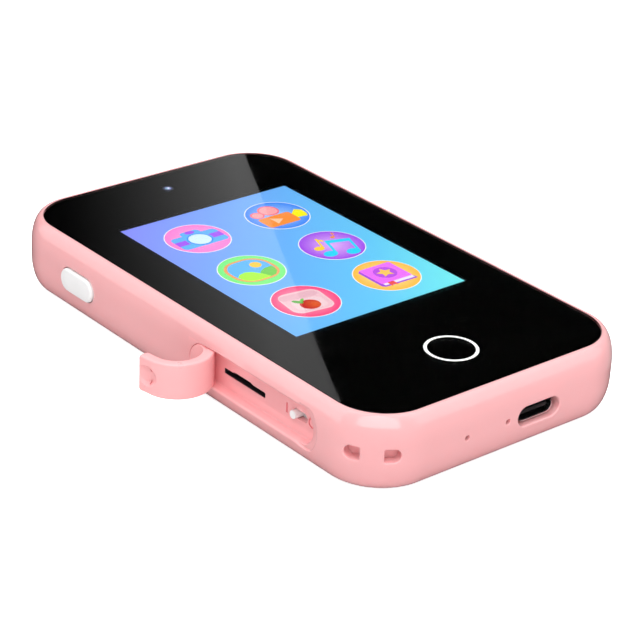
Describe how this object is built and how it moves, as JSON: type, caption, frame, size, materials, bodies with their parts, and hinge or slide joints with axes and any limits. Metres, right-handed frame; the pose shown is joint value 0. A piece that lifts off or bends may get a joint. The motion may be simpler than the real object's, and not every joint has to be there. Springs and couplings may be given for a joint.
{
  "type": "toy cell phone",
  "caption": "Child's toy smartphone: pink rounded body, glass front with picture icons, side power button, corner cord loop and a rubber flap curled open off a card slot and slide switch.",
  "frame": {"origin": "middle of the flat underside, where the phone rests when it lies face up", "axes": "+X to the right of the screen, +Y towards the top of the screen, +Z out of the screen"},
  "size_m": [0.0795, 0.1172, 0.0151],
  "materials": {
    "body_pink": "fine satin",
    "white_plastic": "satin",
    "flap_rubber": "soft matt",
    "front_glass": "clear, polished",
    "black_ink": "printed film behind the glass",
    "white_ink": "printed",
    "display": "lit colour screen with picture icons",
    "steel": "satin",
    "bright_metal": "polished",
    "bezel_metal": "turned, satin",
    "brass_can": "plated",
    "flex_orange": "thin flexible film",
    "ivory_plastic": "matt",
    "black_plastic": "matt",
    "chip_black": "matt, lightly textured",
    "lens_glass": "coated lens",
    "led_yellow": "clear dome over yellow",
    "board_green": "lacquered",
    "battery_foil": "soft foil pouch",
    "foam_grey": "open foam",
    "gasket_rubber": "matt",
    "wire_red": "smooth",
    "wire_black": "smooth"
  },
  "bodies": {
    "phone": {"housing": "body_pink", "back_cover": "body_pink", "cover_screws": "steel", "front_panel": "front_glass", "panel_mask": "black_ink", "home_ring": "white_ink", "lcd_panel": "display", "lcd_frame": "steel", "lcd_ribbon": "flex_orange", "lcd_connector": "ivory_plastic", "front_camera": "black_plastic", "front_camera_lens": "lens_glass", "rear_camera": "black_plastic", "rear_camera_bezel": "bezel_metal", "rear_camera_window": "lens_glass", "flash_led": "led_yellow", "camera_ribbon": "flex_orange", "ribbon_connector": "ivory_plastic", "main_board": "board_green", "board_screws": "steel", "main_chip": "chip_black", "memory_chip": "chip_black", "battery": "battery_foil", "battery_pad": "foam_grey", "battery_lead_red": "wire_red", "battery_lead_black": "wire_black", "speaker": "black_plastic", "speaker_gasket": "gasket_rubber", "speaker_lead_a": "wire_red", "speaker_lead_b": "wire_black", "wire_sockets": "ivory_plastic", "microphone": "brass_can", "microphone_boot": "gasket_rubber", "usb_shell": "bright_metal", "usb_tongue": "black_plastic", "card_socket": "black_plastic", "card_socket_cover": "bright_metal", "button_switch": "steel", "switch_body": "steel", "reset_switch": "steel", "flap_root": "flap_rubber"},
    "power_key": {"power_button": "white_plastic", "button_plunger": "black_plastic"},
    "slide_switch": {"switch_lever": "white_plastic"},
    "reset_key": {"reset_plunger": "black_plastic"},
    "flap_1": {"flap_link_1": "flap_rubber"},
    "flap_2": {"flap_link_2": "flap_rubber"},
    "flap_3": {"flap_link_3": "flap_rubber"},
    "flap_4": {"flap_link_4": "flap_rubber"},
    "flap_5": {"flap_link_5": "flap_rubber"},
    "flap_6": {"flap_link_6": "flap_rubber"}
  },
  "joints": [
    {"name": "power_press", "type": "slide", "parent": "phone", "child": "power_key", "axis": [1, 0, 0], "range_m": [0, 0.0005], "stiffness_N_per_m": 500},
    {"name": "switch_slide", "type": "slide", "parent": "phone", "child": "slide_switch", "axis": [0, -1, 0], "range_m": [0, 0.0022]},
    {"name": "reset_press", "type": "slide", "parent": "phone", "child": "reset_key", "axis": [0, 1, 0], "range_m": [0, 0.00025], "stiffness_N_per_m": 400},
    {"name": "flap_bend_1", "type": "hinge", "parent": "phone", "child": "flap_1", "pos_m": [-0.03265, -0.00975, 0.00765], "axis": [0, 0, 1], "range_deg": [0, 35], "stiffness_Nm_per_rad": 0.0004},
    {"name": "flap_bend_2", "type": "hinge", "parent": "flap_1", "child": "flap_2", "pos_m": [-0.03395, -0.01161, 0.00765], "axis": [0, 0, 1], "range_deg": [0, 27.2]},
    {"name": "flap_bend_3", "type": "hinge", "parent": "flap_2", "child": "flap_3", "pos_m": [-0.03656, -0.01298, 0.00765], "axis": [0, 0, 1], "range_deg": [0, 27.2]},
    {"name": "flap_bend_4", "type": "hinge", "parent": "flap_3", "child": "flap_4", "pos_m": [-0.03951, -0.01302, 0.00765], "axis": [0, 0, 1], "range_deg": [0, 27.2]},
    {"name": "flap_bend_5", "type": "hinge", "parent": "flap_4", "child": "flap_5", "pos_m": [-0.04215, -0.01169, 0.00765], "axis": [0, 0, 1], "range_deg": [0, 27.2]},
    {"name": "flap_bend_6", "type": "hinge", "parent": "flap_5", "child": "flap_6", "pos_m": [-0.04389, -0.00931, 0.00765], "axis": [0, 0, 1], "range_deg": [0, 27.2]}
  ],
  "couplings": [
    {"joint": "flap_bend_2", "follows": "flap_bend_1", "ratio": 0.77714},
    {"joint": "flap_bend_3", "follows": "flap_bend_1", "ratio": 0.77714},
    {"joint": "flap_bend_4", "follows": "flap_bend_1", "ratio": 0.77714},
    {"joint": "flap_bend_5", "follows": "flap_bend_1", "ratio": 0.77714},
    {"joint": "flap_bend_6", "follows": "flap_bend_1", "ratio": 0.77714}
  ]
}
